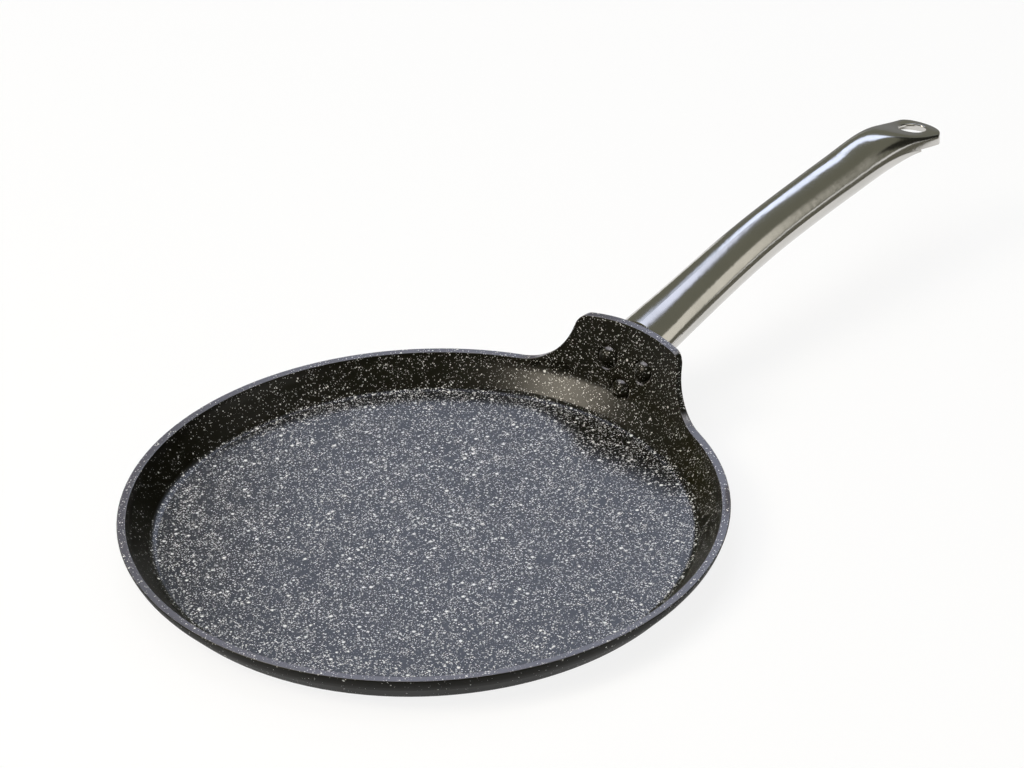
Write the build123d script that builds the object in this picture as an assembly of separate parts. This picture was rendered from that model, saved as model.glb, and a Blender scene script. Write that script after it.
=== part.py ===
from build123d import *
import math
import os

# Crepe pan: a shallow pressed aluminium pan with an upright tab, to which three rivets
# fasten a hollow stainless steel handle.
# Millimetres. The origin is at the middle of the underside, +Z is up and the handle
# runs along +X. The part is symmetric about the XZ plane.

# Driving dimensions of the pan
rim_radius = 140.0
rim_height = 18.0
sheet = 4.0
wall_flare_deg = 42.0
tab_lean_deg = 20.0
bend_drop = 3.0
bend_radius = 12.0
floor_fillet = 5.0
edge_round = 0.6

# Driving dimensions of the tab that stands up from the rim
tab_rise = 27.8
tab_half_width = 31.0
tab_side_lean_deg = 12.5
tab_neck_radius = 23.0
tab_corner_radius = 7.0
tab_crown = 2.6

# Induction disc, flush with the underside
disc_radius = 98.0
disc_thickness = 0.8
disc_fit = 0.1
disc_hole_radius = 2.6
disc_ring_step = 22.0
disc_first_ring = 28.0
disc_ring_count = 3
disc_first_ring_holes = 10
disc_holes_per_ring = 8

# Rivets
rivet_spread = 10.8
rivet_upper_rise = 10.4
rivet_lower_drop = 1.8
rivet_shank_radius = 2.5
rivet_head_radius = 4.9
rivet_head_height = 2.5
rivet_groove_depth = 0.6
rivet_tail_radius = 4.2
rivet_tail_height = 1.8
rivet_fit = 0.1

# Bracket between the tab and the handle
bracket_thickness = 2.0
seat_gap = 0.1
bracket_half_width = 17.5
bracket_low_half_width = 9.0
bracket_ear_margin = 0.6
bracket_bottom_drop = 8.5
bracket_ear_radius = 2.5
bracket_corner_radius = 6.0
tongue_length = 34.0
tongue_thickness = 2.0

# Hollow handle, whose length is measured from the rim
handle_length = 231.5
handle_width = 24.0
handle_depth = 22.0
handle_wall = 1.3
seam_gap = 0.1
seam_lift = 0.6
tail_round = 14.0
tail_edge_round = 0.7
hole_length = 17.0
hole_width = 11.8
hole_edge_round = 0.5
lower_shell_end = 23.0
notch_clearance = 13.0
notch_length = 9.0

# One overrun serves every cut that has to pass clear through a wall
overrun = 5.0

# The floor lies flat, which is a wall that leans out this far
flat_lean_deg = 90.0

# Stations along the handle, as shares. The columns are the reach past the rim as a share
# of handle_length, the height of the widest line above the rim as a share of handle_depth,
# the half width as a share of handle_width, the depths above and below the widest line as
# shares of handle_depth, and the squareness of the section, where 0.5523 is an ellipse.
handle_station_shares = (
    (-0.006, 0.665, 0.633, 0.500, 0.520, 0.5523),
    (0.057, 0.812, 0.617, 0.500, 0.530, 0.5523),
    (0.121, 0.966, 0.588, 0.500, 0.538, 0.5523),
    (0.169, 1.084, 0.562, 0.505, 0.545, 0.5523),
    (0.233, 1.248, 0.542, 0.505, 0.548, 0.5523),
    (0.331, 1.490, 0.521, 0.500, 0.545, 0.5523),
    (0.460, 1.740, 0.504, 0.495, 0.540, 0.5523),
    (0.590, 1.917, 0.500, 0.495, 0.535, 0.5523),
    (0.650, 1.988, 0.503, 0.497, 0.533, 0.5523),
    (0.703, 2.045, 0.508, 0.500, 0.530, 0.5523),
    (0.791, 2.116, 0.521, 0.522, 0.485, 0.5600),
    (0.843, 2.078, 0.533, 0.447, 0.300, 0.7200),
    (0.892, 1.968, 0.541, 0.347, 0.080, 1.0000),
    (0.935, 1.869, 0.544, 0.291, 0.060, 1.1500),
    (0.980, 1.777, 0.545, 0.263, 0.055, 1.2000),
    (1.030, 1.669, 0.545, 0.236, 0.055, 1.2000),
)

# Sizes that follow from the ones above
longest_cross_edge = sheet * 1.5
handle_reach = rim_radius + handle_length
hole_reach = handle_reach - tail_round
lower_shell_reach = handle_reach - lower_shell_end
bracket_seat = sheet + seat_gap
bracket_back = bracket_seat + bracket_thickness
tongue_skin = handle_wall + seat_gap

# Turned forms start from the side away from the handle, so their seam is far from it
far_plane = Plane(origin=(0, 0, 0), x_dir=(-1, 0, 0), z_dir=(0, 1, 0))


def sloped_normal(slope_deg):
    """Outward normal, as radius and height, of a wall that leans out by slope_deg."""
    slope = math.radians(slope_deg)
    return math.cos(slope), -math.sin(slope)


def offset_corner(corner, slope_below, slope_above, distance):
    """The corner between two sloped walls, moved outwards with both of them."""
    below = sloped_normal(slope_below)
    above = sloped_normal(slope_above)
    share = distance / (1 + below[0] * above[0] + below[1] * above[1])
    return corner[0] + share * (below[0] + above[0]), corner[1] + share * (below[1] + above[1])


def inner_corners():
    """The floor corner and the bend below the rim, on the inside of the sheet."""
    lean = math.tan(math.radians(tab_lean_deg))
    flare = math.tan(math.radians(wall_flare_deg))
    inner_rim = rim_radius - sheet / math.cos(math.radians(tab_lean_deg))
    bend = (inner_rim - bend_drop * lean, rim_height - bend_drop)
    floor = (bend[0] - (bend[1] - sheet) * flare, sheet)
    return floor, bend


def tab_face_radius(height, distance=0.0):
    """Radius, at a height above the base, of the tab's face moved out by distance."""
    lean = math.radians(tab_lean_deg)
    inner_rim = rim_radius - sheet / math.cos(lean)
    return inner_rim + (height - rim_height) * math.tan(lean) + distance / math.cos(lean)


def skin_line(distance):
    """Floor corner, bend and upper end of the sheet's inner face moved out by distance."""
    floor, bend = inner_corners()
    top = rim_height + tab_rise + overrun
    return [
        offset_corner(floor, flat_lean_deg, wall_flare_deg, distance),
        offset_corner(bend, wall_flare_deg, tab_lean_deg, distance),
        (tab_face_radius(top, distance), top),
    ]


def rounded(face, corner, radius):
    """The face with the corner nearest to the given point rounded off."""
    vertex = face.vertices().sort_by_distance((corner[0], corner[1], 0))[0]
    return fillet(vertex, radius)


def revolved_skin(inside, outside, with_floor):
    """Body of revolution between two offsets of the sheet's inner face."""
    inner = skin_line(inside)
    outer = skin_line(outside)
    points = inner + outer[::-1]
    if with_floor:
        points = points + [(0, outer[0][1]), (0, inner[0][1])]
    face = make_face(Polyline(*points, close=True))
    face = rounded(face, inner[1], bend_radius + inside)
    face = rounded(face, outer[1], bend_radius + outside)
    if with_floor:
        face = rounded(face, inner[0], floor_fillet + inside)
        face = rounded(face, outer[0], floor_fillet + outside)
    return revolve(far_plane * face, Axis.Z)


def revolved_core(distance):
    """Everything inside the sheet's inner face moved out by distance, up to the top."""
    floor, bend, top = skin_line(distance)
    points = [(0, floor[1]), floor, bend, top, (0, top[1])]
    face = make_face(Polyline(*points, close=True))
    face = rounded(face, floor, floor_fillet + distance)
    face = rounded(face, bend, bend_radius + distance)
    return revolve(far_plane * face, Axis.Z)


def cross_outline(points, radii):
    """A closed outline in width and height, rounded, that runs out along +X."""
    face = make_face(Polyline(*points, close=True))
    for corner, radius in radii:
        face = rounded(face, corner, radius)
    return extrude(Plane.YZ * face, rim_radius * 2)


def tab_outline():
    """Everything that the rim cut leaves standing on the handle's side of the pan."""
    lean = math.tan(math.radians(tab_side_lean_deg))
    top = rim_height + tab_rise
    foot = tab_half_width + (tab_rise - tab_crown) * lean
    reach = rim_radius + overrun
    arch = ThreePointArc(
        (tab_half_width, top - tab_crown),
        (0, top),
        (-tab_half_width, top - tab_crown),
    )
    edge = Polyline(
        (-tab_half_width, top - tab_crown),
        (-foot, rim_height),
        (-reach, rim_height),
        (-reach, -overrun),
        (reach, -overrun),
        (reach, rim_height),
        (foot, rim_height),
        (tab_half_width, top - tab_crown),
    )
    face = make_face([arch, edge])
    for side in (-1, 1):
        face = rounded(face, (side * foot, rim_height), tab_neck_radius)
        face = rounded(face, (side * tab_half_width, top - tab_crown), tab_corner_radius)
    return extrude(Plane.YZ * face, rim_radius * 2)


def rivet_planes():
    """One plane for each rivet, on the inner face of the tab, facing out through it."""
    places = {
        "rivet_left": (rivet_spread, rim_height + rivet_upper_rise),
        "rivet_right": (-rivet_spread, rim_height + rivet_upper_rise),
        "rivet_lower": (0, rim_height - rivet_lower_drop),
    }
    lean = math.radians(tab_lean_deg)
    planes = {}
    for name, (side, height) in places.items():
        radius = tab_face_radius(height)
        turn = math.asin(side / radius)
        origin = (radius * math.cos(turn), side, height)
        facing = (
            math.cos(lean) * math.cos(turn),
            math.cos(lean) * math.sin(turn),
            -math.sin(lean),
        )
        planes[name] = Plane(origin=origin, z_dir=facing)
    return planes


def rivet_holes(clearance):
    """Drillings for the three rivets, through the tab and the bracket."""
    depth = bracket_back + rivet_tail_height
    drill = Cylinder(rivet_shank_radius + clearance, depth * 2)
    return [plane * drill for plane in rivet_planes().values()]


def rivet_grooves():
    """Ring grooves that the rivet heads press into the face of the tab."""
    wide = rivet_head_radius + rivet_groove_depth * 3
    narrow = rivet_head_radius + rivet_groove_depth
    ring = Cone(wide, narrow, rivet_groove_depth * 2)
    ring = ring - Cylinder(rivet_head_radius, rivet_groove_depth * 4)
    return [plane * ring for plane in rivet_planes().values()]


def make_pan_body():
    """Pressed pan with its floor, flared wall, flat rim and upright tab."""
    pan = revolved_skin(0, sheet, True)
    handle_side = tab_outline()
    far_side = Pos(-rim_radius, 0, rim_height / 2 - overrun) * Box(
        rim_radius * 2, rim_radius * 3, rim_height + overrun * 2
    )
    pan = pan & (handle_side + far_side)
    along = [edge for edge in pan.edges() if edge.length > longest_cross_edge]
    cut_edges = [edge for edge in along if edge.bounding_box().min.Z > rim_height - edge_round]
    pan = fillet(cut_edges, edge_round)
    pocket = Cylinder(disc_radius + disc_fit, disc_thickness * 2)
    return pan - pocket - rivet_holes(rivet_fit) - rivet_grooves()


def make_induction_disc():
    """Thin steel disc in the underside, pierced by rings of holes."""
    centred = (Align.CENTER, Align.CENTER, Align.MIN)
    disc = Cylinder(disc_radius, disc_thickness, align=centred)
    drill = Cylinder(disc_hole_radius, disc_thickness * 4)
    holes = []
    for ring in range(disc_ring_count):
        count = disc_first_ring_holes + ring * disc_holes_per_ring
        holes += PolarLocations(disc_first_ring + ring * disc_ring_step, count) * drill
    return disc - holes


def make_rivet(plane, inside_pan, inside_bracket):
    """Domed head on the inside, shank, and a flatter tail formed on the bracket."""
    ball_radius = (rivet_head_radius**2 + rivet_head_height**2) / (2 * rivet_head_height)
    ball = Pos(0, 0, ball_radius - rivet_head_height) * Sphere(ball_radius)
    head = plane * (ball & Cylinder(rivet_head_radius, sheet * 2)) & inside_pan
    tail_low = bracket_back - bracket_thickness / 2
    tail_end = bracket_back + rivet_tail_height
    outwards = (Align.CENTER, Align.CENTER, Align.MIN)
    tail = Cylinder(rivet_tail_radius, tail_end - tail_low, align=outwards)
    tail = fillet(tail.edges().group_by(Axis.Z)[-1], rivet_tail_height / 2)
    tail = plane * (Pos(0, 0, tail_low) * tail) - inside_bracket
    shank_low = -rivet_head_height / 2
    shank_end = tail_end - rivet_tail_height / 2
    shank = Cylinder(rivet_shank_radius, shank_end - shank_low, align=outwards)
    return head + tail + plane * (Pos(0, 0, shank_low) * shank)


def handle_stations():
    """Reach, height of the widest line, half width, depths above and below, squareness."""
    for reach, rise, wide, up, down, square in handle_station_shares:
        yield (
            rim_radius + reach * handle_length,
            rim_height + rise * handle_depth,
            wide * handle_width,
            up * handle_depth,
            down * handle_depth,
            square,
        )


def handle_section(reach, middle, half_width, up, down, square):
    """One closed section of the handle, as four curves that meet at its widest line."""
    right = (half_width, 0)
    left = (-half_width, 0)
    top = (0, up)
    bottom = (0, -down)
    w = square * half_width
    outline = [
        Bezier(right, (half_width, square * up), (w, up), top),
        Bezier(top, (-w, up), (-half_width, square * up), left),
        Bezier(left, (-half_width, -square * down), (-w, -down), bottom),
        Bezier(bottom, (w, -down), (half_width, -square * down), right),
    ]
    plane = Plane(origin=(reach, 0, middle), x_dir=(0, 1, 0), z_dir=(1, 0, 0))
    return plane * make_face(outline)


def handle_solid(inset):
    """The handle's outer form, or the same form inset evenly from its surface."""
    # At the flat tail the inset form stays as deep below its widest line as the seam is above
    sections = []
    for reach, middle, half_width, up, down, square in handle_stations():
        sections.append(
            handle_section(
                reach,
                middle,
                half_width - inset,
                up - inset,
                max(down - inset, seam_lift),
                square,
            )
        )
    form = loft(sections)
    tall = rim_height + handle_reach
    straight = Pos(hole_reach / 2, 0, tall / 2) * Box(hole_reach, handle_width * 2, tall)
    end = Pos(hole_reach, 0, tall / 2) * Cylinder(tail_round - inset, tall)
    return form & (straight + end)


def seam_region(above):
    """Everything above the seam, which lies over the widest line, or under its groove."""
    side = 1 if above else -1
    lift = seam_lift if above else seam_lift - seam_gap
    line = [(reach, middle + lift) for reach, middle, *_ in handle_stations()]
    far = side * handle_depth * 3
    edge = Spline(*line)
    box = Polyline(
        line[-1],
        (line[-1][0], line[-1][1] + far),
        (line[0][0], line[0][1] + far),
        line[0],
    )
    return extrude(Plane.XZ * make_face([edge, box]), handle_width, both=True)


def upper_cross_edges(solid, reach):
    """The two highest edges that run across the handle and end at this reach."""
    across = []
    for edge in solid.edges():
        box = edge.bounding_box()
        if box.size.Y > seam_gap and abs(box.max.X - reach) < seam_gap:
            across.append(edge)
    return sorted(across, key=lambda edge: edge.center().Z)[-2:]


def make_upper_shell(outer, inside):
    """Upper half of the handle, with the open tail and the hanging hole."""
    shell = outer & seam_region(True)
    shell = fillet(upper_cross_edges(shell, handle_reach), tail_edge_round) - inside
    hole = extrude(Ellipse(hole_length / 2, hole_width / 2), rim_height + handle_reach)
    shell = shell - Pos(hole_reach, 0, 0) * hole
    hole_edges = upper_cross_edges(shell, hole_reach + hole_length / 2)
    return fillet(hole_edges, hole_edge_round)


def make_lower_shell(outer, inside):
    """Lower half of the handle, notched behind the rivets and shorter at the tail."""
    tails = tab_face_radius(rim_height + rivet_upper_rise, bracket_back + rivet_tail_height)
    notch_reach = tails + notch_clearance
    low = make_face(
        Polyline(
            (0, 0),
            (notch_reach, 0),
            (notch_reach - notch_length, rim_height + handle_depth),
            (0, rim_height + handle_depth),
            close=True,
        )
    )
    notch = extrude(Plane.XZ * low, handle_width, both=True)
    tail = Pos(lower_shell_reach + handle_reach / 2, 0, 0) * Box(
        handle_reach, handle_width * 2, handle_reach
    )
    return (outer & seam_region(False)) - [tail, notch] - inside


def make_bracket(tongue_outer, tongue_inner):
    """Riveting plate that follows the tab, with the arched tongue of the handle."""
    ear_top = rim_height + rivet_upper_rise + rivet_tail_radius + bracket_ear_margin
    half_outline = [
        (bracket_half_width, ear_top),
        (bracket_half_width, rim_height + rivet_upper_rise / 2),
        (bracket_low_half_width, rim_height - bracket_bottom_drop),
    ]
    radii = [bracket_ear_radius, bracket_corner_radius, bracket_corner_radius]
    mirrored = [(-side, height) for side, height in half_outline]
    rounding = list(zip(half_outline + mirrored, radii * 2))
    low_part = cross_outline(half_outline + mirrored[::-1], rounding)
    skin = revolved_skin(bracket_seat, bracket_back, False)
    high_part = Pos(rim_radius, 0, rim_height + handle_depth) * Box(
        handle_width * 2, handle_width * 2, handle_depth * 2
    )
    plate = skin & low_part + (tongue_outer & high_part)
    front = tab_face_radius(rim_height + tab_rise, bracket_seat)
    reach = Pos(front + tongue_length / 2, 0, 0) * Box(
        tongue_length, handle_width * 2, handle_reach
    )
    tongue = (tongue_outer & seam_region(True) & reach) - tongue_inner
    behind = revolved_core(bracket_seat + bracket_thickness / 2)
    return plate + (tongue - behind) - rivet_holes(rivet_fit)


def main():
    os.makedirs("parts", exist_ok=True)
    inside_pan = revolved_core(0)
    inside_bracket = revolved_core(bracket_back)
    handle_outer = handle_solid(0)
    handle_inside = [handle_solid(handle_wall), revolved_core(bracket_seat)]
    parts = {
        "pan_body": make_pan_body(),
        "induction_disc": make_induction_disc(),
        "handle_upper_shell": make_upper_shell(handle_outer, handle_inside),
        "handle_lower_shell": make_lower_shell(handle_outer, handle_inside),
        "handle_bracket": make_bracket(
            handle_solid(tongue_skin),
            handle_solid(tongue_skin + tongue_thickness),
        ),
    }
    for name, plane in rivet_planes().items():
        parts[name] = make_rivet(plane, inside_pan, inside_bracket)
    for name, solid in parts.items():
        export_step(solid, f"parts/{name}.step")
        print(name, len(solid.solids()), "solid,", round(solid.volume), "cubic millimetres")


main()
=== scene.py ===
# %% [markdown]
# A crepe pan is a pressed and coated aluminium disc with a steel handle. Its solids are
# already drawn in CAD, at their real size, so this lesson adds what a solid can't show:
# the speckled coating, the polished steel, the pressed base and the light of a studio.
# The first step loads those solids. They stay where they are, and every length below is
# in metres, in the same frame: the origin is under the middle of the pan, and the handle
# runs along +X.

import math

import bmesh
import bpy
from mathutils import Matrix, Vector


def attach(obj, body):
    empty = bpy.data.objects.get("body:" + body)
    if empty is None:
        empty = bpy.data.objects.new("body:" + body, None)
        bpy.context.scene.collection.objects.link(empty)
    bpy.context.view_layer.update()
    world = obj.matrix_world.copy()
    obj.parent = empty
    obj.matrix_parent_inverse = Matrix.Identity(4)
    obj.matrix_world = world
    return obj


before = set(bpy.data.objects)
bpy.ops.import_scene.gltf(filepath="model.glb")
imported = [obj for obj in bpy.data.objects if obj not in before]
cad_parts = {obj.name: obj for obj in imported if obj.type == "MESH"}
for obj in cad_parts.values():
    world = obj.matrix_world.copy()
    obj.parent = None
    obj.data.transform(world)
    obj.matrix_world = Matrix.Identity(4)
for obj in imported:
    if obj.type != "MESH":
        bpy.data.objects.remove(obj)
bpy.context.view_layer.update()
millimetre = 0.001
print("solids:", sorted(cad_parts))

# %% [markdown]
# Every finish here is a node material, and most of its nodes are arithmetic. Written out
# node by node it would be hard to read, so two small classes turn it into Python sums.
# A Signal is the output of a node that can be added, subtracted and multiplied, and a
# Finish is a tree of nodes that is being built. Colours and directions don't go through
# these sums, because a Math node would turn them grey.

# %% Sums on node outputs
class Signal:
    """The output of a node, which can stand in a sum as a number does."""

    def __init__(self, finish, socket):
        self.finish = finish
        self.socket = socket

    def output(self, name):
        return Signal(self.finish, self.socket.node.outputs[name])

    def math(self, operation, first, second):
        return self.finish.node("ShaderNodeMath", {"operation": operation}, {0: first, 1: second})

    def __add__(self, other):
        return self.math("ADD", self, other)

    def __sub__(self, other):
        return self.math("SUBTRACT", self, other)

    def __rsub__(self, other):
        return self.math("SUBTRACT", other, self)

    def __mul__(self, other):
        return self.math("MULTIPLY", self, other)

    __radd__ = __add__
    __rmul__ = __mul__


class Finish:
    """The node tree of a material or a world, with one way to add any node."""

    def __init__(self, owner):
        owner.use_nodes = True
        self.owner = owner
        self.tree = owner.node_tree
        self.tree.nodes.clear()

    def node(self, kind, settings, inputs, output=0):
        node = self.tree.nodes.new(kind)
        for name, setting in settings.items():
            setattr(node, name, setting)
        for name, value in inputs.items():
            self.feed(self.find(node, name), value)
        return Signal(self, node.outputs[output])

    def find(self, node, name):
        if isinstance(name, int):
            return node.inputs[name]
        return next(socket for socket in node.inputs if name in (socket.identifier, socket.name))

    def feed(self, socket, value):
        if isinstance(value, Signal):
            self.tree.links.new(value.socket, socket)
        else:
            socket.default_value = value

    def blend(self, share, low, high):
        """One colour where share is 0 and another where it is 1."""
        ends = [end if isinstance(end, Signal) else (*end, 1.0) for end in (low, high)]
        inputs = {"Factor_Float": share, "A_Color": ends[0], "B_Color": ends[1]}
        return self.node("ShaderNodeMix", {"data_type": "RGBA"}, inputs, "Result")

    def between(self, value, start, end):
        """Rises smoothly from 0 at start to 1 at end."""
        settings = {"interpolation_type": "SMOOTHSTEP"}
        return self.node("ShaderNodeMapRange", settings, {0: value, 1: start, 2: end})

    def noise(self, place, size, detail=2.0):
        """Soft random values about 0.5, in blotches of about this size."""
        inputs = {"Vector": place, "Scale": 1 / size, "Detail": detail}
        return self.node("ShaderNodeTexNoise", {"noise_dimensions": "3D"}, inputs)

    def shift(self, place, amount):
        return self.node("ShaderNodeVectorMath", {"operation": "ADD"}, {0: place, 1: amount})

    def length(self, vector):
        """How far a place is from the origin."""
        return self.node("ShaderNodeVectorMath", {"operation": "LENGTH"}, {0: vector}, "Value")

    def stretch(self, place, factors):
        settings = {"operation": "MULTIPLY"}
        return self.node("ShaderNodeVectorMath", settings, {0: place, 1: factors})

    def split(self, vector):
        parts = self.node("ShaderNodeSeparateXYZ", {}, {0: vector})
        return parts, parts.output("Y"), parts.output("Z")

    def close(self, surface):
        """Connects the finished surface, or a world's sky, and returns its owner."""
        is_world = isinstance(self.owner, bpy.types.World)
        kind = "ShaderNodeOutputWorld" if is_world else "ShaderNodeOutputMaterial"
        output = self.tree.nodes.new(kind)
        self.tree.links.new(surface.socket, output.inputs["Surface"])
        return self.owner


def new_finish(name):
    return Finish(bpy.data.materials.new(name))


print("helpers ready")

# %% [markdown]
# The pan is sprayed with a black non-stick coating, and then spattered with pale drops
# to look like stone. An image of real spatter would blur close up, and its joins would
# show on the curved wall. A Voronoi texture does it without either: it divides space
# into cells with one point in each, and the distance from that point draws a round drop.
# Each cell also has a random colour, which decides whether it holds a drop, how large it
# is and how bright. A little noise, added to the place before, makes the drops ragged.

# %% Pale drops of spatter
smallest_drop = 0.25  # as a share of the largest radius
drop_softness = 0.12  # of the edge of a drop, as a share of a cell
ragged_size = 0.5 * millimetre
ragged_amount = 0.4 * millimetre


def drops(finish, place, spacing, chance, radius):
    """1 inside a drop, 0 between drops, and the random brightness of each drop."""
    inputs = {"Vector": place, "Scale": 1 / spacing}
    cells = finish.node("ShaderNodeTexVoronoi", {"feature": "F1"}, inputs)
    lots = finish.node("ShaderNodeSeparateColor", {}, {0: cells.output("Color")})
    holds_drop = finish.node(
        "ShaderNodeMath", {"operation": "LESS_THAN"}, {0: lots.output("Red"), 1: chance}
    )
    share = smallest_drop + (1 - smallest_drop) * lots.output("Green")
    beyond_edge = cells.output("Distance") - share * radius * (1 / spacing)
    inside = finish.between(beyond_edge, drop_softness, -drop_softness)
    return inside * holds_drop, lots.output("Blue")


def ragged(finish, place):
    """The same place, pushed about by a fine noise."""
    push = finish.noise(place, ragged_size).output("Color")
    centred = finish.shift(push, (-0.5, -0.5, -0.5))
    return finish.shift(place, finish.stretch(centred, 3 * (ragged_amount,)))


print("drops are from", smallest_drop, "to 1 of the largest radius of their layer")


# %% [markdown]
# The spray falls from above, so the flat floor catches most of the spatter, the steep
# wall and the tab catch less, and the underside, which is sprayed apart, has only a
# sparse dust. The surface's own normal tells these places apart: its Z is 1 on the
# floor, about two thirds on the wall, a third on the tab and less than 0 underneath.
# What faces up but lies higher than the floor is the rim and the top of the tab. Their
# colour is a lavender grey, lighter than the coat, as a painted sheen, and paler still where
# their edges round over, as a painted highlight. The coat itself is satin, with a faint
# orange peel that the Bump node takes from noise.

# %% The speckled non-stick coating
coating_black = (0.0026, 0.0022, 0.0002)
# Painted sheen on the rim and the top of the tab, and a painted highlight on their rounded edges,
# whose strength is the gain below.
rim_painted_sheen = (0.085, 0.083, 0.105)
rim_painted_highlight = (0.34, 0.34, 0.40)
rim_heights = (14 * millimetre, 16 * millimetre)
edge_highlight_gain = 4.0

# Where the surface starts and ends to count as level, and as the inside of the pan, by
# the Z of its normal.
level_facing = (0.80, 0.98)
inside_facing = (-0.05, 0.15)
drop_white = (0.96, 0.96, 0.96)
drop_grey = (0.48, 0.48, 0.49)

# Each layer of drops: spacing and largest radius in millimetres, then the chance that a
# cell holds a drop on the wall and on the floor. Drops on the wall are also smaller, and
# lie thicker towards the tab.
drop_layers = (
    (0.55, 0.27, 0.22, 0.30),
    (0.95, 0.44, 0.17, 0.50),
    (2.60, 0.85, 0.03, 0.26),
)
wall_drop_size = 0.85
thickening_along = (-50 * millimetre, 110 * millimetre)
wall_plenty_least = 0.42
wall_plenty_rise = 0.78
underneath_plenty = 0.30
rim_plenty_loss = 0.4
clump_size = 8 * millimetre
clump_contrast = (0.30, 0.70)
clump_least = 0.65
clump_rise = 0.70

# Unevenness of the coat, and its roughness and refractive index in three places: the
# lower the index, the fainter the sheen.
smudge_size = 28 * millimetre
smudge_roughness = 0.08
peel_size = 0.9 * millimetre
peel_depth = 0.1 * millimetre
peel_strength = 0.12
drop_height = 0.4
level_coat = (0.15, 1.5)
wall_coat = (0.25, 1.33)
underneath_coat = (0.5, 1.2)


def make_coating(name):
    finish = new_finish(name)
    spot = finish.node("ShaderNodeTexCoord", {}, {})
    place = spot.output("Object")
    _, _, facing_up = finish.split(spot.output("Normal"))
    along, _, height = finish.split(place)
    level = finish.between(facing_up, *level_facing)
    rim = level * finish.between(height, *rim_heights)
    floor = level - rim
    inside = finish.between(facing_up, *inside_facing)
    clumps = finish.between(finish.noise(place, clump_size), *clump_contrast)
    towards_tab = finish.between(along, *thickening_along)
    by_tab = level + (1.0 - level) * (wall_plenty_least + wall_plenty_rise * towards_tab)
    plenty = underneath_plenty + (1 - underneath_plenty) * inside
    plenty = plenty * (clump_least + clump_rise * clumps)
    plenty = plenty * (1.0 - rim_plenty_loss * rim) * by_tab
    rough_place = ragged(finish, place)
    # Painted highlight where the rim's edges round over, over the painted sheen of the rim.
    edge_highlight = edge_highlight_gain * rim * (1.0 - level)
    rim_sheen_and_highlight = finish.blend(edge_highlight, rim_painted_sheen, rim_painted_highlight)
    colour = finish.blend(rim, coating_black, rim_sheen_and_highlight)
    size = wall_drop_size + (1 - wall_drop_size) * level
    raised = 0.0
    for spacing, radius, wall_chance, floor_chance in drop_layers:
        chance = (wall_chance + (floor_chance - wall_chance) * floor) * plenty
        covered, light = drops(
            finish, rough_place, spacing * millimetre, chance, size * (radius * millimetre)
        )
        drop_colour = finish.blend(light, drop_grey, drop_white)
        colour = finish.blend(covered, colour, drop_colour)
        raised = raised + covered
    smudges = finish.noise(place, smudge_size, 4.0)
    peel = finish.noise(place, peel_size) + drop_height * raised
    relief = {"Strength": peel_strength, "Distance": peel_depth, "Height": peel}
    bump = finish.node("ShaderNodeBump", {}, relief)

    def coat(roughness, index):
        inputs = {
            "Base Color": colour,
            "Roughness": roughness + smudge_roughness * smudges,
            "IOR": index,
            "Normal": bump,
        }
        return finish.node("ShaderNodeBsdfPrincipled", {}, inputs)

    def mix(share, low, high):
        return finish.node("ShaderNodeMixShader", {}, {0: share, 1: low, 2: high})

    sprayed = mix(level, coat(*wall_coat), coat(*level_coat))
    whole = mix(inside, coat(*underneath_coat), sprayed)
    print(name, "has", len(finish.tree.nodes), "nodes")
    return finish.close(whole)


stone_coating = make_coating("stone_coating")

# %% [markdown]
# The handle is stainless steel, polished along its length until it mirrors the room.
# A perfect mirror would look like a computer's chrome, so three faint faults are added:
# lines of polish that run along the handle, a slow waviness of the pressed sheet, and
# smudges where the shine is duller. All three are noise, and the lines are noise that
# has been stretched along X. The bracket behind the tab isn't polished, so it is rougher,
# with a fine grain and no direction. Every bare metal here ends in the same two nodes,
# which one function adds.

# %% Polished and satin steel
# Each relief is the strength and the depth of a Bump node, and each contrast says from
# where to where a noise rises from none to all of its effect.
steel_clean = (0.61, 0.592, 0.564)
steel_smudged = (0.555, 0.54, 0.51)
steel_roughness = 0.11
steel_relief = (0.05, 0.4 * millimetre)
line_stretch = (0.03, 1.0, 1.0)
line_size = 0.5 * millimetre
line_roughness = 0.05
line_height = 0.25
wave_stretch = (0.3, 1.0, 1.0)
wave_size = 14 * millimetre
smear_size = 22 * millimetre
smear_contrast = (0.35, 0.75)
smear_roughness = 0.05

satin_dark = (0.50, 0.49, 0.47)
satin_pale = (0.62, 0.61, 0.59)
satin_roughness = 0.30
satin_relief = (0.15, 0.05 * millimetre)
grain_size = 0.4 * millimetre
grain_roughness = 0.15
satin_stain_size = 12 * millimetre


def start_metal(name):
    finish = new_finish(name)
    return finish, finish.node("ShaderNodeTexCoord", {}, {}).output("Object")


def close_metal(finish, colour, roughness, height, strength, depth):
    """A bare metal of this colour, whose height moves its normal by up to this depth."""
    relief = {"Strength": strength, "Distance": depth, "Height": height}
    inputs = {
        "Base Color": colour,
        "Metallic": 1.0,
        "Roughness": roughness,
        "Normal": finish.node("ShaderNodeBump", {}, relief),
    }
    return finish.close(finish.node("ShaderNodeBsdfPrincipled", {}, inputs))


def make_polished_steel(name):
    finish, place = start_metal(name)
    lines = finish.noise(finish.stretch(place, line_stretch), line_size, 3.0)
    waves = finish.noise(finish.stretch(place, wave_stretch), wave_size)
    smears = finish.between(finish.noise(place, smear_size, 5.0), *smear_contrast)
    colour = finish.blend(smears, steel_clean, steel_smudged)
    roughness = steel_roughness + smear_roughness * smears + line_roughness * lines
    return close_metal(finish, colour, roughness, line_height * lines + waves, *steel_relief)


def make_satin_steel(name):
    finish, place = start_metal(name)
    grain = finish.noise(place, grain_size, 4.0)
    stains = finish.noise(place, satin_stain_size, 3.0)
    colour = finish.blend(stains, satin_dark, satin_pale)
    roughness = satin_roughness + grain_roughness * grain
    return close_metal(finish, colour, roughness, grain, *satin_relief)


polished_steel = make_polished_steel("polished_steel")
satin_steel = make_satin_steel("bracket_steel")
print(polished_steel.name, "has", len(polished_steel.node_tree.nodes), "nodes")

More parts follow.
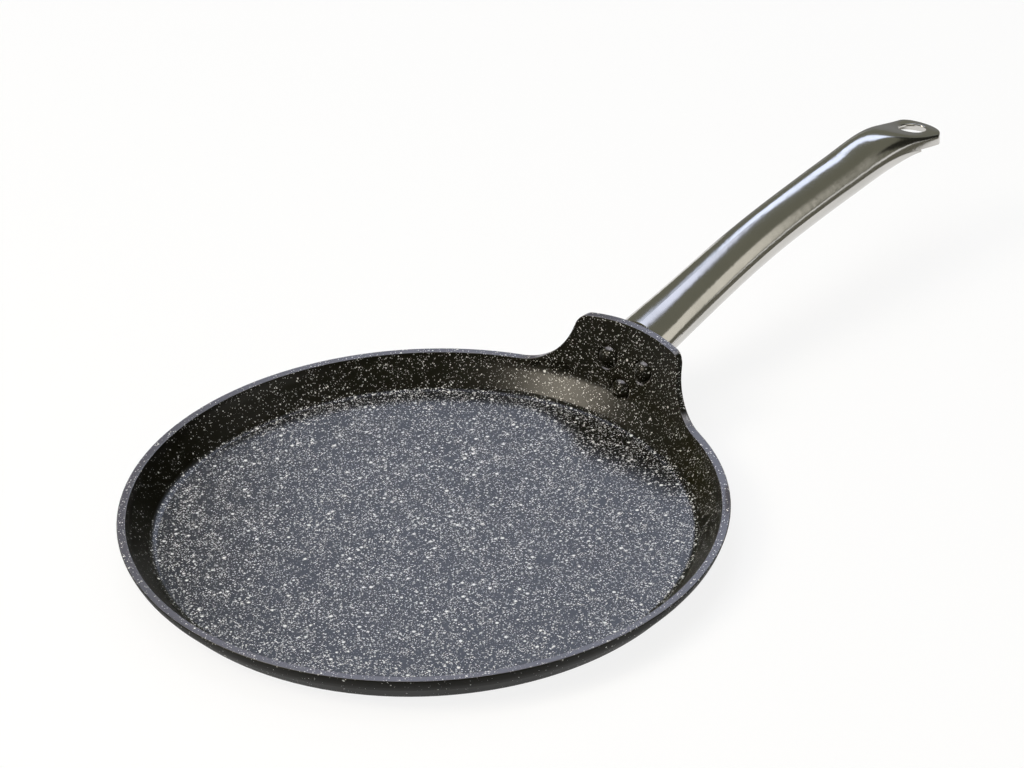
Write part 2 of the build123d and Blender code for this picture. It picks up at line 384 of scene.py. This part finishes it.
# %% [markdown]
# The disc under the pan is turned on a lathe after it has been pressed in, which leaves
# fine rings round its middle. Their height depends only on the distance from the axis,
# so a noise that reads that distance, and nothing else, gives rings of uneven depth.

# %% Turned steel of the base
turned_bright = (0.58, 0.57, 0.55)
turned_worn = (0.47, 0.455, 0.43)
turned_roughness = 0.26
turned_relief = (0.35, 0.06 * millimetre)
groove_size = 0.5 * millimetre
groove_roughness = 0.16
wear_size = 18 * millimetre
wear_contrast = (0.45, 0.75)
wear_roughness = 0.10


def make_turned_steel(name):
    finish, place = start_metal(name)
    radius = finish.length(finish.stretch(place, (1.0, 1.0, 0.0)))
    ring_place = finish.node("ShaderNodeCombineXYZ", {}, {"X": radius})
    grooves = finish.noise(ring_place, groove_size, 3.0)
    wear = finish.between(finish.noise(place, wear_size, 5.0), *wear_contrast)
    colour = finish.blend(wear, turned_bright, turned_worn)
    roughness = turned_roughness + groove_roughness * grooves + wear_roughness * wear
    return close_metal(finish, colour, roughness, grooves, *turned_relief)


turned_steel = make_turned_steel("base_steel")
print(turned_steel.name, "has", len(turned_steel.node_tree.nodes), "nodes")

# %% [markdown]
# The steel disc isn't glued on. It is pierced by three rings of holes, and under the
# press the pan's softer aluminium is driven through them and spreads, so that each hole
# is filled by a small bare button. They could be modelled one by one, but they repeat by
# a rule, so Geometry Nodes make them: one button is drawn from a circle by two steps
# downwards, the second of them narrower, and is then set on every point of three larger
# circles. The sizes are the named inputs of the tree. Its result is made a plain mesh,
# because the part is kept without its modifiers.

# %% Aluminium buttons in the disc
class Recipe(Finish):
    """A Geometry Nodes tree, built with the same node method, with named inputs."""

    def __init__(self, name, inputs):
        self.owner = self.tree = bpy.data.node_groups.new(name, "GeometryNodeTree")
        sockets = self.tree.interface
        sockets.new_socket("Shape", in_out="OUTPUT", socket_type="NodeSocketGeometry")
        self.identifiers = {}
        for label, kind in inputs.items():
            socket = sockets.new_socket(label, in_out="INPUT", socket_type=kind)
            self.identifiers[label] = socket.identifier
        self.given = self.node("NodeGroupInput", {}, {})

    def ask(self, label):
        return self.given.output(label)

    def join(self, shapes):
        joined = self.node("GeometryNodeJoinGeometry", {}, {})
        for shape in shapes:
            self.tree.links.new(shape.socket, joined.socket.node.inputs[0])
        return joined

    def end(self, shape):
        output = self.tree.nodes.new("NodeGroupOutput")
        self.tree.links.new(shape.socket, output.inputs[0])

    def make(self, name, values):
        """Runs the tree once and gives its result as an object with a plain mesh."""
        piece = bpy.data.objects.new(name, bpy.data.meshes.new(name))
        bpy.context.collection.objects.link(piece)
        modifier = piece.modifiers.new(name, "NODES")
        modifier.node_group = self.tree
        for label, value in values.items():
            modifier[self.identifiers[label]] = value
        evaluated = piece.evaluated_get(bpy.context.evaluated_depsgraph_get())
        mesh = bpy.data.meshes.new_from_object(evaluated)
        piece.modifiers.clear()
        piece.data = mesh
        return piece


button_corners = 20
button_side = 0.65  # share of the depth that is straight; the rest narrows
button_foot = 0.82  # width of the narrow end, as a share of the whole
ring_count = 3
weld_distance = 1e-6
aluminium_bright = (0.72, 0.73, 0.74)
aluminium_stained = (0.55, 0.55, 0.54)
aluminium_roughness = 0.34
aluminium_relief = (0.3, 0.08 * millimetre)
aluminium_stain_size = 16 * millimetre
aluminium_stain_contrast = (0.35, 0.75)
dent_size = 0.7 * millimetre
dent_roughness = 0.2
button_values = {
    "Button radius": 2.58 * millimetre,
    "Button depth": 0.7 * millimetre,
    "Top height": 0.8 * millimetre,
    "First ring": 28.0 * millimetre,
    "Ring step": 22.0 * millimetre,
    "First count": 10,
    "Count step": 8,
}


def make_button_recipe():
    kinds = {
        label: "NodeSocketInt" if isinstance(value, int) else "NodeSocketFloat"
        for label, value in button_values.items()
    }
    recipe = Recipe("disc_buttons", {**kinds, "Finish": "NodeSocketMaterial"})
    extrude = {"mode": "FACES"}
    face = recipe.node(
        "GeometryNodeMeshCircle",
        {"fill_type": "NGON"},
        {"Vertices": button_corners, "Radius": recipe.ask("Button radius")},
    )
    below = recipe.node("GeometryNodeFlipFaces", {}, {0: face})
    depth = recipe.ask("Button depth")
    side = recipe.node(
        "GeometryNodeExtrudeMesh", extrude, {0: below, "Offset Scale": depth * button_side}
    )
    lip = recipe.node(
        "GeometryNodeExtrudeMesh",
        extrude,
        {0: side, "Selection": side.output("Top"), "Offset Scale": depth * (1 - button_side)},
    )
    narrowed = recipe.node(
        "GeometryNodeScaleElements",
        {},
        {0: lip, "Selection": lip.output("Top"), "Scale": button_foot},
    )
    closed = recipe.node(
        "GeometryNodeMergeByDistance",
        {},
        {0: recipe.join([narrowed, face]), "Distance": weld_distance},
    )
    rings = []
    for ring in range(ring_count):
        sizes = {
            "Vertices": recipe.ask("First count") + recipe.ask("Count step") * ring,
            "Radius": recipe.ask("First ring") + recipe.ask("Ring step") * ring,
        }
        points = recipe.node("GeometryNodeMeshCircle", {}, sizes)
        rings.append(
            recipe.node("GeometryNodeInstanceOnPoints", {}, {0: points, "Instance": closed})
        )
    height = recipe.node("ShaderNodeCombineXYZ", {}, {"Z": recipe.ask("Top height")})
    lifted = recipe.node(
        "GeometryNodeTransform", {}, {0: recipe.join(rings), "Translation": height}
    )
    real = recipe.node("GeometryNodeRealizeInstances", {}, {0: lifted})
    recipe.end(
        recipe.node("GeometryNodeSetMaterial", {}, {0: real, "Material": recipe.ask("Finish")})
    )
    return recipe


def make_pressed_aluminium(name):
    """Bare aluminium, dented by the press, with stains in blotches."""
    finish, place = start_metal(name)
    dents = finish.noise(place, dent_size, 3.0)
    blotches = finish.noise(place, aluminium_stain_size, 4.0)
    stains = finish.between(blotches, *aluminium_stain_contrast)
    colour = finish.blend(stains, aluminium_bright, aluminium_stained)
    roughness = aluminium_roughness + dent_roughness * dents
    return close_metal(finish, colour, roughness, dents, *aluminium_relief)


button_recipe = make_button_recipe()
buttons = button_recipe.make(
    "base_buttons", {**button_values, "Finish": make_pressed_aluminium("pressed_aluminium")}
)
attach(buttons, "root")
print(len(buttons.data.polygons), "faces,", button_recipe.tree.name)

# %% [markdown]
# Each solid now gets its finish. A solid that is right keeps its mesh, and only its
# material slots change.

# %% Finish the solids
finishes = {
    "pan_body": stone_coating,
    "rivet_left": stone_coating,
    "rivet_right": stone_coating,
    "rivet_lower": stone_coating,
    "handle_upper_shell": polished_steel,
    "handle_lower_shell": polished_steel,
    "handle_bracket": satin_steel,
    "induction_disc": turned_steel,
}
for node_name, material in finishes.items():
    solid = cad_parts[node_name]
    for slot in solid.material_slots:
        slot.material = material
    print(node_name, "is", material.name)

# %% [markdown]
# The floor is a plain pale sheet, much larger than the pan. The photograph's background
# is white, so most of what the camera sees of the floor is white light, with enough of
# the lit surface left in it for the pan's shadow. The polished handle mirrors the floor,
# so rays that come by way of a reflection see the same white.

# %% Pale floor
floor_half_side = 4.0
floor_gap = 0.1 * millimetre
floor_colour = (0.93, 0.93, 0.93)
floor_white_share = 0.85


def make_floor():
    mesh = bpy.data.meshes.new("studio_floor")
    shape = bmesh.new()
    bmesh.ops.create_grid(shape, x_segments=1, y_segments=1, size=floor_half_side)
    bmesh.ops.translate(shape, verts=shape.verts, vec=(0.0, 0.0, -floor_gap))
    shape.to_mesh(mesh)
    shape.free()
    floor = bpy.data.objects.new("studio_floor", mesh)
    bpy.context.collection.objects.link(floor)
    finish = new_finish("studio_floor")
    rays = finish.node("ShaderNodeLightPath", {}, {})
    seen = rays.output("Is Camera Ray") + rays.output("Is Glossy Ray")
    seen = seen + rays.output("Is Transmission Ray")
    matt = finish.node("ShaderNodeBsdfDiffuse", {}, {"Color": (*floor_colour, 1.0)})
    white = finish.node("ShaderNodeEmission", {}, {"Strength": 1.0})
    both = finish.node(
        "ShaderNodeMixShader", {}, {0: seen * floor_white_share, 1: matt, 2: white}
    )
    mesh.materials.append(finish.close(both))
    print(floor.name, "is", 2 * floor_half_side, "metres wide")


make_floor()

# %% [markdown]
# Polished steel shows nothing but the room, so the room is chosen for what it draws on
# the handle and the coating. Each reflector is a card that glows evenly and fades at its
# edges, as a softbox does through cloth. The cool card behind the pan lays the blue-grey
# sheen on the floor of the pan, and its upper corner the bright line on the handle. The
# one above it is the haze beside that line, the one on the right the beige band, and the
# one on the left warms the wall beside the tab. Black cards are flags, which keep light
# from where the photograph is dark. A card is placed by its bearing, its height in
# degrees and its distance, and faces the pan. Two low strips stand on the floor beside
# the handle, and draw the dark line along its side. They are so near that they only show
# in the reflections and cast no shadow. The camera sees neither cards nor strips.

# %% Cards and flags
aim_point = Vector((0.05, 0.0, 0.02))

# Each card: its name, bearing and elevation in degrees, distance, width and height, the
# share of it that fades at its edges, and its light in red, green and blue. A flag
# doesn't fade, and glows only as faintly as black cloth gives back light.
cards = (
    ("card_behind", 29, 37, 1.90, 1.66, 0.74, 0.28, (1.44, 1.60, 2.02)),
    ("card_above", 58, 60, 2.05, 1.20, 1.50, 0.52, (1.16, 1.25, 1.55)),
    ("card_right", -70, 23, 2.00, 2.00, 1.90, 0.36, (0.92, 0.895, 0.80)),
    ("card_left", 155, 43, 2.00, 1.60, 1.30, 0.75, (14.0, 12.8, 10.6)),
    ("flag_right", -17, 12, 1.80, 1.60, 1.00, 0, (0.02, 0.02, 0.015)),
    ("flag_left", 118, 8, 2.10, 3.00, 1.00, 0, (0.09, 0.08, 0.006)),
)

# Each low flag: its name, the two ends of its foot on the floor, its height at each of
# them, and its faint light.
low_flags = (
    ("flag_low_right", (0.10, -0.095), (0.62, -0.095), 0.034, 0.066, (0.15, 0.145, 0.115)),
    ("flag_low_behind", (0.30, 0.12), (0.75, 0.12), 0.06, 0.09, (0.22, 0.22, 0.21)),
)


def direction(bearing, elevation):
    """Unit vector from the pan; a bearing of 0 is along +X and 90 along +Y."""
    turn = math.radians(bearing)
    tilt = math.radians(elevation)
    flat = math.cos(tilt)
    return Vector((flat * math.cos(turn), flat * math.sin(turn), math.sin(tilt)))


def face_pan(bearing, elevation, distance):
    """Stands an object at this place, with its Z axis away from the pan."""
    towards = direction(bearing, elevation)
    turned = towards.to_track_quat("Z", "Y").to_matrix().to_4x4()
    return Matrix.Translation(aim_point + towards * distance) @ turned


def make_glow(name, width, height, fade, radiance):
    """Light that fades to nothing over the outer share of a card, on all four sides."""
    finish = new_finish(name)
    across, along, _ = finish.split(finish.node("ShaderNodeTexCoord", {}, {}).output("Object"))
    glow = 1.0
    for place, size in ((across, width), (along, height)):
        from_middle = finish.node("ShaderNodeMath", {"operation": "ABSOLUTE"}, {0: place})
        glow = glow * finish.between(from_middle, size / 2, size / 2 * (1 - fade))
    colour = finish.blend(glow, (0.0, 0.0, 0.0), radiance)
    light = finish.node("ShaderNodeEmission", {}, {"Color": colour, "Strength": 1.0})
    clear = finish.node("ShaderNodeBsdfTransparent", {}, {})
    return finish.close(finish.node("ShaderNodeMixShader", {}, {0: glow, 1: clear, 2: light}))


def make_flag_black(name, colour):
    finish = new_finish(name)
    return finish.close(finish.node("ShaderNodeEmission", {}, {"Color": (*colour, 1.0)}))


def add_card(name, bearing, elevation, distance, width, height, fade, radiance):
    mesh = bpy.data.meshes.new(name)
    half_width = width / 2
    half_height = height / 2
    corners = [
        (-half_width, -half_height, 0.0),
        (half_width, -half_height, 0.0),
        (half_width, half_height, 0.0),
        (-half_width, half_height, 0.0),
    ]
    mesh.from_pydata(corners, [], [(3, 2, 1, 0)])
    if fade:
        mesh.materials.append(make_glow(name, width, height, fade, radiance))
    else:
        mesh.materials.append(make_flag_black(name, radiance))
    card = bpy.data.objects.new(name, mesh)
    card.matrix_world = face_pan(bearing, elevation, distance)
    card.visible_camera = False
    bpy.context.collection.objects.link(card)
    print(name, "is", width, "by", height, "metres")


def add_low_flag(name, start, end, start_height, end_height, colour):
    """A strip that stands on the floor beside the handle, for the dark line in its side."""
    mesh = bpy.data.meshes.new(name)
    corners = [(*start, 0.0), (*end, 0.0), (*end, end_height), (*start, start_height)]
    mesh.from_pydata(corners, [], [(0, 1, 2, 3)])
    mesh.materials.append(make_flag_black(name, colour))
    strip = bpy.data.objects.new(name, mesh)
    strip.visible_camera = False
    strip.visible_diffuse = False
    strip.visible_shadow = False
    bpy.context.collection.objects.link(strip)
    print(name, "rises from", start_height, "to", end_height, "metres")


for card in cards:
    add_card(*card)
for strip in low_flags:
    add_low_flag(*strip)

# %% [markdown]
# The cards alone would leave the pan dim, so two broad lamps, one high on the left and
# one nearly overhead, light the colours about as strongly as they are written. They are
# kept out of reflections, so that the polished steel mirrors only the cards and the room.

# %% Broad lamps and the room
# Each lamp: its name, bearing and elevation in degrees, distance, width and height, and
# its radiance and colour.
lamps = (
    ("lamp_front", 170, 58, 2.4, 1.6, 1.6, 2.7, (1.0, 0.98, 0.94)),
    ("lamp_top", 60, 76, 2.4, 1.2, 1.2, 3.0, (0.92, 0.96, 1.0)),
)
room_colour = (0.18, 0.18, 0.14, 1.0)


def add_lamp(name, bearing, elevation, distance, width, height, radiance, colour):
    lamp = bpy.data.lights.new(name, "AREA")
    lamp.shape = "RECTANGLE"
    lamp.size = width
    lamp.size_y = height
    lamp.energy = radiance * math.pi * width * height
    lamp.color = colour
    box = bpy.data.objects.new(name, lamp)
    box.matrix_world = face_pan(bearing, elevation, distance)
    box.visible_glossy = False
    bpy.context.collection.objects.link(box)
    print(name, "radiates", round(lamp.energy, 1), "watts")


for lamp in lamps:
    add_lamp(*lamp)

room = Finish(bpy.context.scene.world or bpy.data.worlds.new("room"))
bpy.context.scene.world = room.owner
walls = room.node("ShaderNodeBackground", {}, {"Color": room_colour})
room.close(walls)

# %% [markdown]
# The photograph was taken from about two metres away with a long lens, looking down by
# about 31 degrees, which is why the far rim looks hardly smaller than the near one. The
# camera stands where its view of the rim, the tab and the handle fits that photograph.

# %% Camera
camera_place = Vector((-1.2234, -1.2148, 1.1264))
camera_forward = Vector((0.6212, 0.5875, -0.5186))
camera_roll = math.radians(-1.82)
camera_lens_mm = 158.2
camera_sensor_mm = 36.0

camera_data = bpy.data.cameras.new("camera")
camera_data.lens = camera_lens_mm
camera_data.sensor_width = camera_sensor_mm
camera_data.sensor_fit = "HORIZONTAL"
camera = bpy.data.objects.new("camera", camera_data)
level_view = camera_forward.to_track_quat("-Z", "Y").to_matrix().to_4x4()
camera.matrix_world = (
    Matrix.Translation(camera_place) @ level_view @ Matrix.Rotation(camera_roll, 4, "Z")
)
bpy.context.collection.objects.link(camera)
bpy.context.scene.camera = camera
bpy.context.scene.view_settings.view_transform = "Standard"
print("camera at", [round(value, 3) for value in camera.location])
